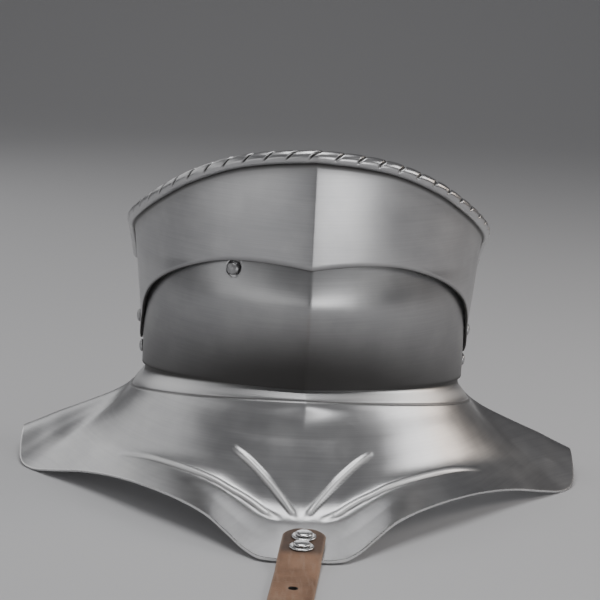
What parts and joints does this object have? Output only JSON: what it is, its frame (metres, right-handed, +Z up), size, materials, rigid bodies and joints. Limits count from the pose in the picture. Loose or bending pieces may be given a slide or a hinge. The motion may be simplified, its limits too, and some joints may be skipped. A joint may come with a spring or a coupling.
{
  "type": "bevor",
  "caption": "Steel bevor that guards chin and neck: a keeled chin plate, a falling lame with a roped rim, a fluted gorget plate and a leather strap.",
  "frame": {"origin": "middle of the bounding box on the ground that the piece stands on", "axes": "-Y towards the front with the keel and the strap, +X towards the wearer's left, +Z up"},
  "size_m": [0.33, 0.321, 0.2042],
  "materials": {
    "gorget_plate": "satin polish with a fine grain and light wear",
    "chin_plate": "satin polish with a fine grain and light wear",
    "upper_lame": "satin polish with a fine grain and light wear",
    "plate_rivets": "satin polish with a fine grain and light wear",
    "strap_rivets": "satin polish with a fine grain and light wear",
    "washers": "satin polish with a fine grain and light wear",
    "catch_spring": "satin polish with a fine grain and light wear",
    "strap": "tan vegetable-tanned leather, matt, with cut edges"
  },
  "bodies": {
    "gorget": {"gorget_plate": "gorget_plate", "strap": "strap", "upper_washer": "washers", "lower_washer": "washers", "upper_strap_rivet": "strap_rivets", "lower_strap_rivet": "strap_rivets"},
    "chin_guard": {"chin_plate": "chin_plate", "right_lame_rivet": "plate_rivets", "left_lame_rivet": "plate_rivets", "right_collar_rivet": "plate_rivets", "left_collar_rivet": "plate_rivets"},
    "falling_lame": {"upper_lame": "upper_lame"},
    "catch": {"catch_spring": "catch_spring"}
  },
  "joints": [
    {"name": "chin_tilt", "type": "hinge", "parent": "gorget", "child": "chin_guard", "pos_m": [0, 0.12957, 0.06779], "axis": [-1, 0, 0], "range_deg": [0, 4.5]},
    {"name": "lame_fall", "type": "hinge", "parent": "chin_guard", "child": "falling_lame", "pos_m": [0, 0.13141, 0.0857], "axis": [1, 0, 0], "range_deg": [0, 28], "deforming": ["catch_spring"]},
    {"name": "catch_press", "type": "hinge", "parent": "chin_guard", "child": "catch", "pos_m": [-0.06728, 0.06561, 0.13851], "axis": [0, 0.1018, 0.9948], "range_deg": [0, 5], "stiffness_Nm_per_rad": 4}
  ]
}
